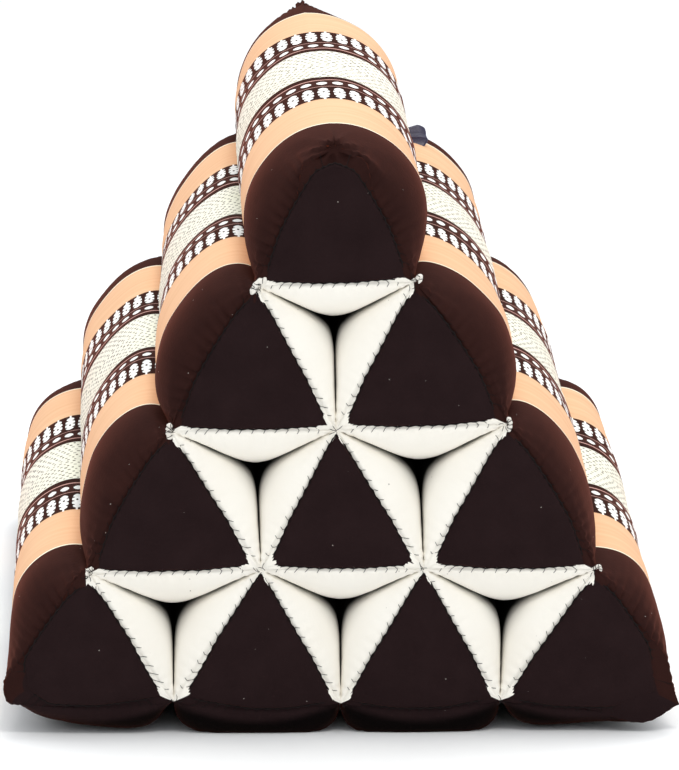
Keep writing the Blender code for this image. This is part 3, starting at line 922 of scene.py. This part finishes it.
    # cloth coordinates: metres round the tube at mid length, part of the way along it
    halfWay = len(depths) // 2
    loop = np.vstack([grid[halfWay], grid[halfWay][:1]])
    roundCloth = np.concatenate([[0.0], np.cumsum(np.linalg.norm(np.diff(loop, axis=0), axis=1))])
    wallThree = np.arange(around + 1) >= 2 * perWall
    clothScale = 1.0 if row == 0 else tubeLook["sideClothScale"]
    roundCloth = roundCloth * clothScale
    roundOut = np.where(wallThree, roundCloth - roundCloth[-1], roundCloth)
    lengthOut = [(depth - cushion["tubeEnd"]) / cushion["length"] + 0.5 for depth in depths]

    points = grid.reshape(-1, 3).tolist()
    faces = []
    slots = []
    cloth = []
    slotOf = {"cover": 0, "undyed": 1, "base": 2}
    # painted floor shadow on the base: darkest low down and towards the seams between the base tubes
    arched = grid[:, :, 2] - 0.010 * (1 - np.sin(math.pi * part))[None, :]
    floorShadowAmount = np.clip((0.0088 - arched) / 0.0035, 0.0, 1.0)
    floorShadowAmount = np.hstack([floorShadowAmount, floorShadowAmount[:, -1:]])
    wallSlots = [slotOf[kinds[w]] for w in wallOf]
    for r in range(len(depths) - 1):
        for k in range(around):
            after = (k + 1) % around
            faces.append((r * around + k, (r + 1) * around + k,
                          (r + 1) * around + after, r * around + after))
            slots.append(wallSlots[k])
            if wallSlots[k]:
                # on undyed cloth u is how hard it presses on the next tube, which sets the painted crease
                # shade; on the base it is how much painted floor shadow it takes
                shade = pressing if wallSlots[k] == 1 else floorShadowAmount
                cloth += [(shade[r][k], lengthOut[r]), (shade[r + 1][k], lengthOut[r + 1]),
                          (shade[r + 1][k + 1], lengthOut[r + 1]), (shade[r][k + 1], lengthOut[r])]
                continue
            # a wall's last strip ends on its own side of the seam
            right = roundOut[k] + (roundCloth[k + 1] - roundCloth[k])
            cloth += [(roundOut[k], lengthOut[r]), (roundOut[k], lengthOut[r + 1]),
                      (right, lengthOut[r + 1]), (right, lengthOut[r])]
    for ring, outward in ((0, -1), (len(depths) - 1, 1)):
        addEndCloth(points, faces, slots, cloth, grid[ring], middles[ring], ring * around, outward,
                    wallSlots, free, (row, place))
    made = addMesh(f"tubeCover{row + 1}{place + 1}", points, faces,
                   [coverCotton, undyedCotton, brownCotton], slots, cloth)
    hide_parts(f"tube_row{row + 1}_{place + 1}")
    tubes[(row, place)] = {"grid": grid, "fromFront": fromFront, "fromBack": fromBack,
                           "kinds": kinds, "object": made}


# The ends under the panels; where a panel's corner stops short, the wall's cloth is turned in there
endLook = {"rings": (0.985, 0.965, 0.94, 0.91, 0.87, 0.82, 0.74, 0.60, 0.30), "cornerReach": 0.0120,
           "pleat": 0.00025, "puff": 0.0013, "dome": 0.0035, "topPleat": 0.0012}


def addEndCloth(points, faces, slots, cloth, rim, middle, rimStart, outward, wallSlots, free, tube):
    around = len(rim)
    perWall = cushion["pointsPerWall"]
    corners = [np.array(rim[k * perWall])[[0, 2]] for k in range(3)]
    centre = np.array([middle.x, rim[perWall // 2][1], middle.y])
    previous = [rimStart + k for k in range(around)]
    for scale in endLook["rings"]:
        start = len(points)
        ringPale = []
        for k in range(around):
            spot = centre + (np.array(rim[k]) - centre) * scale
            y = cushion["tubeEnd"] + endLook["dome"] * (1 - scale ** 2) - 0.0002
            gaps = [spot[[0, 2]] - corner for corner in corners]
            distances = [math.hypot(*gap) for gap in gaps]
            nearest = int(np.argmin(distances))
            distance = distances[nearest]
            if distance < endLook["cornerReach"]:
                angle = math.atan2(gaps[nearest][1], gaps[nearest][0])
                rise = math.sin(math.pi * min(1.0, distance / endLook["cornerReach"]))
                if nearest != free:
                    y += rise * (endLook["puff"] + endLook["pleat"] * math.cos(11 * angle))
                elif nearest == 0:
                    y += rise * (endLook["topPleat"] * math.cos(9 * angle) - 0.0034)
            points.append((spot[0], outward * y, spot[2]))
            ringPale.append(scale > 0.7)
        ring = [start + k for k in range(around)]
        # the ring is pulled with the cloth it belongs to
        moved = pulled(tube, np.array(points[start:]))
        points[start:] = [tuple(spot) for spot in moved.tolist()]
        for k in range(around):
            after = (k + 1) % around
            face = (previous[k], previous[after], ring[after], ring[k])
            faces.append(face if outward < 0 else face[::-1])
            isPale = ringPale[k] and wallSlots[k] == 1
            # round a free corner the cover itself is turned in under the panel
            isTurned = ringPale[k] and wallSlots[k] == 0
            slots.append(1 if isPale else 0 if isTurned else 2)
            cloth += [(0.0, 0.0)] * 4
        previous = ring
    tip = len(points)
    points.append((middle.x, outward * (cushion["tubeEnd"] + endLook["dome"] - 0.0002), middle.y))
    for k in range(around):
        face = (previous[k], previous[(k + 1) % around], tip)
        faces.append(face if outward < 0 else face[::-1])
        slots.append(2)
        cloth += [(0.0, 0.0)] * 3


for row, place in tubePlaces:
    makeTube(row, place)
print("tubes made:", len(tubes))


# End panels: brown triangles laid over the ends, their edges turned in and whipped down
panelLook = {
    "gap": 0.00035,
    "thickness": 0.0016,
    "dome": 0.0035,
    "inset": 0.0010,          # from the tube's rim
    "edgeRoll": 0.0016,       # width of the rolled edge
    "pucker": 0.00022,
    "rings": (1.0, 0.994, 0.985, 0.97, 0.95, 0.92, 0.87, 0.80, 0.70, 0.56, 0.40, 0.22),
    # how far the corners stop short of the junctions, and over what length they narrow
    "innerTopTrim": (0.0012, 0.008),
    "innerSideTrim": (0.0042, 0.030),
    "outerTopTrim": (0.0026, 0.016),
    "outerSideTrim": (0.0040, 0.030),
    "baseTrim": (0.0034, 0.028),
}
# The two corners beside the wide white foot at the left
footTrims = {(3, 0, 2): (0.0060, 0.040), (3, 1, 1): (0.0052, 0.040)}
# The free corners: how far short of the seam's corner the panel stops, and over what length it narrows
freeTrims = {"top": (0.0095, 0.018), "left": (0.012, 0.024), "right": (0.012, 0.034)}

panels = {}


def panelOutline(row, place, atBack):
    along = 1.0 if atBack else 0.0
    outline, middle = tubeSection(row, place, along, 0.0)
    outline = outline[::2]
    around = len(outline)
    perWall = around // 3
    free, archName = freeCorner(row, place)
    rng = random.Random(f"{row}{place}{atBack}")
    trims = []
    for corner in range(3):
        seamRow, seamPlace = ((row, place), (row + 1, place), (row + 1, place + 1))[corner]
        if seamRow == cushion["rows"]:
            trim, reach = panelLook["baseTrim"]
        elif seamPlace in (0, seamRow):
            trim, reach = panelLook["outerTopTrim" if corner == 0 else "outerSideTrim"]
        else:
            trim, reach = panelLook["innerTopTrim" if corner == 0 else "innerSideTrim"]
        trim *= rng.uniform(0.85, 1.15)
        if not atBack and (row, place, corner) in footTrims:
            trim, reach = footTrims[(row, place, corner)]
        if corner == free:
            trim, reach = freeTrims[archName]
            if atBack:
                trim, reach = trim * 0.6, reach * 0.8
        trims.append((trim, reach))
    trimmed = []
    for k, point in enumerate(outline):
        inward = (middle - point).normalized()
        short = panelLook["inset"]
        for corner in range(3):
            away = (point - outline[corner * perWall]).length
            trim, reach = trims[corner]
            short += trim * max(0.0, 1 - away / reach) ** 1.2
        trimmed.append(point + inward * short)
    return trimmed, middle


def makePanel(row, place, atBack):
    outline, middle = panelOutline(row, place, atBack)
    around = len(outline)
    outward = 1 if atBack else -1
    low = cushion["tubeEnd"] + panelLook["gap"]
    rng = np.random.default_rng(50 + 10 * row + place + 300 * atBack)
    phases = rng.uniform(0, math.tau, 6)
    points = []
    faces = []
    rings = []
    heights = []
    for scale in panelLook["rings"]:
        ring = []
        for k, edge in enumerate(outline):
            spot = middle + (edge - middle) * scale
            fromEdge = (edge - spot).length
            roll = min(1.0, fromEdge / panelLook["edgeRoll"])
            rise = panelLook["thickness"] * math.sqrt(1 - (1 - roll) ** 2)
            rise += panelLook["dome"] * (1 - scale ** 2)
            # drawn down at each stitch, puffed between
            rise += panelLook["pucker"] * math.cos(math.tau * k / 2) * math.exp(-fromEdge / 0.004)
            rise += 0.00035 * (math.sin(spot.x * 95 + phases[0]) * math.sin(spot.y * 120 + phases[1])
                               + 0.6 * math.sin(spot.x * 210 + spot.y * 60 + phases[2])) * roll
            ring.append(len(points))
            points.append((spot.x, outward * (low + max(rise, 0.00005)), spot.y))
        rings.append(ring)
    tip = len(points)
    points.append((middle.x, outward * (low + panelLook["thickness"] + panelLook["dome"]), middle.y))
    # the underside follows the tube's end at a hair's distance
    lower = []
    for scale in (0.985, 0.80, 0.40):
        ring = []
        for edge in outline:
            spot = middle + (edge - middle) * scale
            ring.append(len(points))
            points.append((spot.x, outward * (low + panelLook["dome"] * (1 - scale ** 2)), spot.y))
        lower.append(ring)
    lowTip = len(points)
    points.append((middle.x, outward * (low + panelLook["dome"]), middle.y))
    sheets = [(rings[k], rings[k + 1], False) for k in range(len(rings) - 1)]
    sheets += [(lower[k], lower[k + 1], True) for k in range(len(lower) - 1)]
    sheets.append((lower[0], rings[0], False))
    for outer, inner, under in sheets:
        for k in range(around):
            after = (k + 1) % around
            face = (outer[k], outer[after], inner[after], inner[k])
            faces.append(face if (outward < 0) != under else face[::-1])
    for ring, centre, under in ((rings[-1], tip, False), (lower[-1], lowTip, True)):
        for k in range(around):
            face = (ring[k], ring[(k + 1) % around], centre)
            faces.append(face if (outward < 0) != under else face[::-1])
    side = "back" if atBack else "front"
    made = addMesh(f"{side}Panel{row + 1}{place + 1}", points, faces, [brownCotton])
    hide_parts(f"{side}_panel_row{row + 1}_{place + 1}")
    panels[(row, place, atBack)] = {"outline": outline, "middle": middle, "object": made}


for row, place in tubePlaces:
    makePanel(row, place, False)
    makePanel(row, place, True)
print("end panels made:", len(panels))


# Whip stitches: black thread over the panel's edge and slanting into the tube's wall
stitchLook = {
    "radius": 0.00014,
    "wallReach": 0.0017,       # into undyed cloth, where they show as short slanting hairs
    "coverReach": 0.0012,
    "panelReach": 0.0010,
    "slant": 0.0013,
    "stand": 0.00013,          # over the cloth
    "cornerClear": 0.0055,
}


def onWall(tube, column, distance, atBack):
    # a place on the tube's wall, so far from the seam at one end, and the way out there
    grid = tube["grid"]
    reach = tube["fromBack"] if atBack else tube["fromFront"]
    around = grid.shape[1]
    low = int(math.floor(column))
    mix = column - low
    spots = []
    for k in (low % around, (low + 1) % around):
        way = reach[::-1, k] if atBack else reach[:, k]
        line = grid[::-1, k] if atBack else grid[:, k]
        r = int(np.searchsorted(way[:60], distance, side="right")) - 1
        r = max(0, min(r, 58))
        step = (distance - way[r]) / max(way[r + 1] - way[r], 1e-9)
        spots.append((line[r] + (line[r + 1] - line[r]) * step,
                      line[r + 1] - line[r], line[r]))
    spot = spots[0][0] * (1 - mix) + spots[1][0] * mix
    away = spots[0][1]
    side = spots[1][2] - spots[0][2]
    normal = np.cross(away, side)
    normal /= max(np.linalg.norm(normal), 1e-12)
    if atBack:
        normal = -normal
    return spot, normal


def onPanel(panel, column, distance, atBack):
    outline, middle = panel["outline"], panel["middle"]
    around = len(outline)
    low = int(math.floor(column))
    mix = column - low
    edge = outline[low % around].lerp(outline[(low + 1) % around], mix)
    inward = middle - edge
    spot = edge + inward.normalized() * distance
    scale = (spot - middle).length / inward.length
    roll = min(1.0, distance / panelLook["edgeRoll"])
    rise = panelLook["thickness"] * math.sqrt(1 - (1 - roll) ** 2)
    rise += panelLook["dome"] * (1 - scale ** 2)
    y = cushion["tubeEnd"] + panelLook["gap"] + rise
    outward = 1 if atBack else -1
    return np.array([spot.x, outward * y, spot.y]), np.array([0.0, outward, 0.0])


stitchPaths = []
stitchNormals = []
rng = random.Random(11)
for (row, place), tube in tubes.items():
    perWall = cushion["pointsPerWall"]
    pitch = tubeLook["stitchPitch"]
    for atBack in (False, True):
        panel = panels[(row, place, atBack)]
        for wall in range(3):
            reachIn = stitchLook["wallReach" if tube["kinds"][wall] == "undyed" else "coverReach"]
            chord = cushion["cell"]
            for stitch in range(1, perWall // pitch):
                column = wall * perWall + stitch * pitch
                fromCorner = min(stitch, perWall // pitch - stitch) * chord * pitch / perWall
                if fromCorner < stitchLook["cornerClear"]:
                    continue
                slant = stitchLook["slant"] / chord * perWall * rng.uniform(0.7, 1.3)
                reach = reachIn * rng.uniform(0.75, 1.25)
                path = []
                ways = []
                for k, part in enumerate((1.0, 0.6, 0.2)):
                    spot, way = onPanel(panel, (column + slant * part * 0.4) / 2,
                                        stitchLook["panelReach"] * part, atBack)
                    path.append(spot + way * (stitchLook["stand"] if k else -0.0002))
                    ways.append(way)
                for k, part in enumerate((0.12, 0.45, 0.8, 1.0)):
                    spot, way = onWall(tube, column - slant * part, reach * part, atBack)
                    path.append(spot + way * (stitchLook["stand"] if k < 3 else -0.00025))
                    ways.append(way)
                stitchPaths.append(path)
                stitchNormals.append(ways)
stitches = sweepThreads("whipStitches", stitchPaths, stitchNormals, stitchLook["radius"], blackThread)
print("whip stitches made:", len(stitchPaths))

# the doubled thread that lies in the groove round each panel, drawn in at every stitch; drawn thick and
# black, it also stands in for the shadow in the groove
grooveLook = {"radius": 0.00042, "outside": 0.00015, "wave": 0.00028, "lift": 0.0009}
groovePaths = []
grooveNormals = []
for (row, place, atBack), panel in panels.items():
    outward = 1 if atBack else -1
    outline, middle = panel["outline"], panel["middle"]
    path = []
    for k in range(2 * len(outline) + 1):
        edge = outline[(k // 2) % len(outline)].lerp(outline[((k + 1) // 2) % len(outline)], 0.5)
        away = (edge - middle).normalized()
        swing = math.cos(math.tau * k / tubeLook["stitchPitch"])
        spot = edge + away * (grooveLook["outside"] + grooveLook["wave"] * swing)
        path.append((spot.x, outward * (cushion["tubeEnd"] + grooveLook["lift"]), spot.y))
    groovePaths.append(path)
    grooveNormals.append([(0.0, outward, 0.0)] * len(path))
groove = sweepThreads("grooveThreadAndShadow", groovePaths, grooveNormals, grooveLook["radius"], blackThread, 6)


# Knots where the corners of the tubes are sewn together, and the rolled hems of the outer corners
knotLook = {"loops": (5, 6), "loopRadius": 0.00016, "loopLength": 0.0036, "spread": (0.0011, 0.0019),
            "stand": 0.0012, "wraps": 4}
# (row, place): radius, and the roll's way over the front, mm right and up of the seam
hemRolls = {
    (1, 0): (0.0019, ((6.0, 3.4), (3.2, 3.0), (0.6, 1.6), (-1.2, -1.0), (-2.8, -4.4))),
    (1, 1): (0.0011, ((-1.4, 0.6), (1.2, 1.6), (2.9, 3.4), (3.6, 2.2), (2.4, -0.8))),
    (2, 0): (0.0018, ((-0.2, 4.2), (-0.8, 2.0), (-1.0, 0.0), (-0.8, -2.2), (0.0, -4.4))),
    (2, 2): (0.0014, ((0.4, 3.6), (1.4, 1.8), (1.7, -0.4), (1.3, -2.4), (0.4, -4.2))),
    (3, 0): (0.0013, ((3.2, 3.0), (1.2, 2.4), (-0.2, 1.0), (-0.8, -1.4), (-0.6, -4.8))),
    (3, 3): (0.0010, ((-1.4, 0.8), (0.6, 1.0), (2.0, 2.2), (2.8, 0.8), (3.4, -0.8))),
}
plainRoll = (0.0010, ((0.0, 4.0), (-1.2, 2.0), (-1.6, 0.0), (-1.2, -2.0), (0.0, -4.0)))


def threadCurl(rng, centre, spread, length, outward, points=7):
    # a short curved end of thread lying on the cloth
    angle = rng.uniform(0, math.tau)
    bend = rng.uniform(-2.2, 2.2)
    x = centre[0] + rng.gauss(0, spread * 0.5)
    z = centre[2] + rng.gauss(0, spread * 0.5)
    y = centre[1]
    path = []
    for k in range(points):
        part = k / (points - 1)
        lift = math.sin(math.pi * part) * length * 0.22
        path.append((x, y + outward * lift, z))
        x += math.cos(angle) * length / (points - 1)
        z += math.sin(angle) * length / (points - 1)
        angle += bend / (points - 1)
    return path


def smoothWay(points, count):
    # through the given points, evenly spaced
    knots = np.array(points, float)
    turns = np.linspace(0, len(knots) - 1, count)
    low = np.minimum(turns.astype(int), len(knots) - 2)
    part = (turns - low)[:, None]
    padded = np.vstack([2 * knots[0] - knots[1], knots, 2 * knots[-1] - knots[-2]])
    a, b, c, d = (padded[low + k] for k in range(4))
    return 0.5 * (2 * b + (c - a) * part + (2 * a - 5 * b + 4 * c - d) * part ** 2
                  + (3 * b - a - 3 * c + d) * part ** 3)


rollSteps = 26
rollPaths = []
rollSizes = []
wrapPaths = []
wrapNormals = []
loopPaths = []
rng = random.Random(23)
for atBack in (False, True):
    outward = 1 if atBack else -1
    for row in range(1, 5):
        for place in range(row + 1):
            if row == 4 and place in (0, 4):
                continue
            seam = seamPoint(row, place, 1.0 if atBack else 0.0)
            stand = outward * (cushion["tubeEnd"] + knotLook["stand"])
            isOuter = row < 4 and place in (0, row)
            if isOuter:
                radius, way = plainRoll if atBack else hemRolls[(row, place)]
                mirror = -1 if atBack and place == row else 1
                flat = smoothWay(way, rollSteps) / 1000
                path = np.stack([seam.x + mirror * flat[:, 0],
                                 np.full(rollSteps, outward * (cushion["tubeEnd"] + radius * 0.4)),
                                 seam.y + flat[:, 1]], axis=1)
                part = np.linspace(0, 1, rollSteps)
                plump = 1 - 0.22 * np.abs(np.cos(math.pi * part * knotLook["wraps"]))
                plump *= np.minimum(1, 0.45 + 3.5 * np.minimum(part, 1 - part))
                rollPaths.append(path)
                rollSizes.append(radius * plump)
                # black stitches bind the roll down
                for wrap in range(1, knotLook["wraps"]):
                    at = int(rollSteps * (wrap + rng.uniform(-0.25, 0.25)) / knotLook["wraps"])
                    ahead = path[at + 1] - path[at - 1]
                    across = np.array([-ahead[2], 0.0, ahead[0]]) / np.linalg.norm(ahead)
                    lean = ahead / np.linalg.norm(ahead) * rng.uniform(-0.5, 0.5)
                    size = rollSizes[-1][at] + 0.00010
                    turns = np.linspace(-0.5 * math.pi, 0.5 * math.pi, 7)
                    wrapPaths.append([path[at] + across * size * math.sin(t)
                                      + np.array([0.0, outward, 0.0]) * size * math.cos(t)
                                      + lean * size * math.sin(t) for t in turns])
                    wrapNormals.append([across * math.sin(t) + np.array([0.0, outward, 0.0]) * math.cos(t)
                                        for t in turns])
            for _ in range(knotLook["loops"][isOuter]):
                centre = (seam.x, stand + outward * 0.0006, seam.y)
                loopPaths.append(threadCurl(rng, centre, knotLook["spread"][isOuter] * 1.3,
                                            knotLook["loopLength"] * rng.uniform(0.5, 1.3), outward))
flatWay = [(0.0, -1.0, 0.0)] * 7
rolls = sweepThreads("cornerRolls", rollPaths, [[(0.0, -1.0, 0.0)] * rollSteps] * len(rollPaths),
                     np.array(rollSizes), undyedThread, 10)
loops = sweepThreads("cornerKnots", loopPaths + wrapPaths, [flatWay] * len(loopPaths) + wrapNormals,
                     knotLook["loopRadius"], blackThread)
print("corner knots made:", len(rollPaths) + len(loopPaths))


# The ribbon tab: a satin ribbon folded in half, its ends caught in the crease beside the top tube
tabLook = {
    "depth": 0.1835,
    "thickness": 0.0004,
    "gap": 0.0009,            # between the two halves
    "start": 0.0450,          # where it leaves the crease
    # over the run from the crease to the fold: (part, lower edge, upper edge)
    "run": ((0.00, 0.2322, 0.2362), (0.20, 0.2317, 0.2386), (0.40, 0.2311, 0.2399),
            (0.60, 0.2305, 0.2406), (0.80, 0.2300, 0.2415), (1.00, 0.2296, 0.2402)),
    # over the width: (part, how far right the fold reaches, how far forward the cloth stands)
    "across": ((0.00, 0.0602, 0.0034), (0.18, 0.0618, 0.0022), (0.35, 0.0630, 0.0014),
               (0.50, 0.0621, 0.0010), (0.56, 0.0618, -0.0006), (0.75, 0.0617, -0.0016),
               (0.92, 0.0612, -0.0026), (1.00, 0.0602, -0.0030)),
}


def makeTab():
    run = np.array(tabLook["run"])
    across = np.array(tabLook["across"])
    widthParts = np.linspace(0, 1, 17)
    loop = np.concatenate([np.linspace(0, 0.94, 12), [0.98, 1.0, 0.98], np.linspace(0.94, 0, 12)])
    layer = np.concatenate([np.full(13, -1.0), [0.0], np.full(13, 1.0)])
    reach = np.interp(widthParts, across[:, 0], across[:, 1])
    forward = np.interp(widthParts, across[:, 0], across[:, 2])
    low = np.interp(loop, run[:, 0], run[:, 1])
    high = np.interp(loop, run[:, 0], run[:, 2])
    x = tabLook["start"] + (reach[None, :] - tabLook["start"]) * loop[:, None]
    z = low[:, None] + (high - low)[:, None] * widthParts[None, :]
    lean = forward[None, :] * np.sqrt(loop)[:, None]
    y = tabLook["depth"] - lean + layer[:, None] * tabLook["gap"] / 2
    grid = np.stack([x, y, z], axis=2)
    made = addSheetMesh("ribbonTab", grid, tabLook["thickness"], navyRibbon)
    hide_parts("side_tab")


makeTab()
print("ribbon tab made")


# Pale floor, soft light and the camera at the photo's angle
stageLook = {
    "floor": "#FFFFFF",
    "world": (0.95, 0.975, 1.0),
    "worldStrength": 1.02,     # overhead, and at the horizon
    "horizonStrength": 0.30,
    "targetPoint": (0.00755, 0.0, 0.1296),
    "azimuth": -1.598,
    "elevation": 11.855,
    "distance": 3.2241,
    "lens": 278.28,
}


def makeStage():
    size = 14.0
    corners = [(-size, -size, 0), (size, -size, 0), (size, size, 0), (-size, size, 0)]
    mesh = bpy.data.meshes.new("paleFloor")
    mesh.from_pydata(corners, [], [(0, 1, 2, 3)])
    material, tree, shader = newMaterial("paleFloorPaint", 0.7)
    shader.inputs["Base Color"].default_value = toLinear(stageLook["floor"])
    mesh.materials.append(material)
    floor = bpy.data.objects.new("paleFloor", mesh)
    bpy.context.collection.objects.link(floor)


def addAreaLight(name, place, aim, size, power, colour=(1.0, 1.0, 1.0)):
    light = bpy.data.lights.new(name, "AREA")
    light.shape = "RECTANGLE"
    light.size, light.size_y = size
    light.energy = power
    light.color = colour
    lamp = bpy.data.objects.new(name, light)
    lamp.location = place
    lamp.rotation_euler = (Vector(aim) - Vector(place)).to_track_quat("-Z", "Y").to_euler()
    bpy.context.collection.objects.link(lamp)


def makeCamera():
    azimuth, elevation = math.radians(stageLook["azimuth"]), math.radians(stageLook["elevation"])
    back = Vector((math.sin(azimuth) * math.cos(elevation),
                   -math.cos(azimuth) * math.cos(elevation), math.sin(elevation)))
    camera = bpy.data.cameras.new("photoCamera")
    camera.lens = stageLook["lens"]
    camera.sensor_width = 36.0
    camera.clip_end = 50.0
    holder = bpy.data.objects.new("photoCamera", camera)
    holder.location = Vector(stageLook["targetPoint"]) + back * stageLook["distance"]
    holder.rotation_euler = (-back).to_track_quat("-Z", "Y").to_euler()
    bpy.context.collection.objects.link(holder)
    bpy.context.scene.camera = holder


makeStage()
addAreaLight("softboxTop", (0.12, 0.35, 2.3), (0.0, 0.05, 0.0), (1.4, 1.2), 20.0)
addAreaLight("softboxFront", (0.25, -1.7, 2.4), (0.0, 0.0, 0.12), (0.45, 0.45), 18.0, (1.0, 0.985, 0.96))
world = bpy.data.worlds.new("brightRoom")
world.use_nodes = True
world.node_tree.nodes["Background"].inputs["Color"].default_value = (*stageLook["world"], 1.0)
sky = addNode(world.node_tree, "SeparateXYZ", {0: addNode(world.node_tree, "TexCoord", {}).outputs[0]})
glow = addNode(world.node_tree, "MapRange", {0: sky.outputs[2], 1: 0.0, 2: 0.5,
                                             3: stageLook["horizonStrength"],
                                             4: stageLook["worldStrength"]})
world.node_tree.links.new(glow.outputs[0], world.node_tree.nodes["Background"].inputs["Strength"])
bpy.context.scene.world = world
bpy.context.scene.view_settings.view_transform = "Standard"
makeCamera()
print("stage, light and camera made")
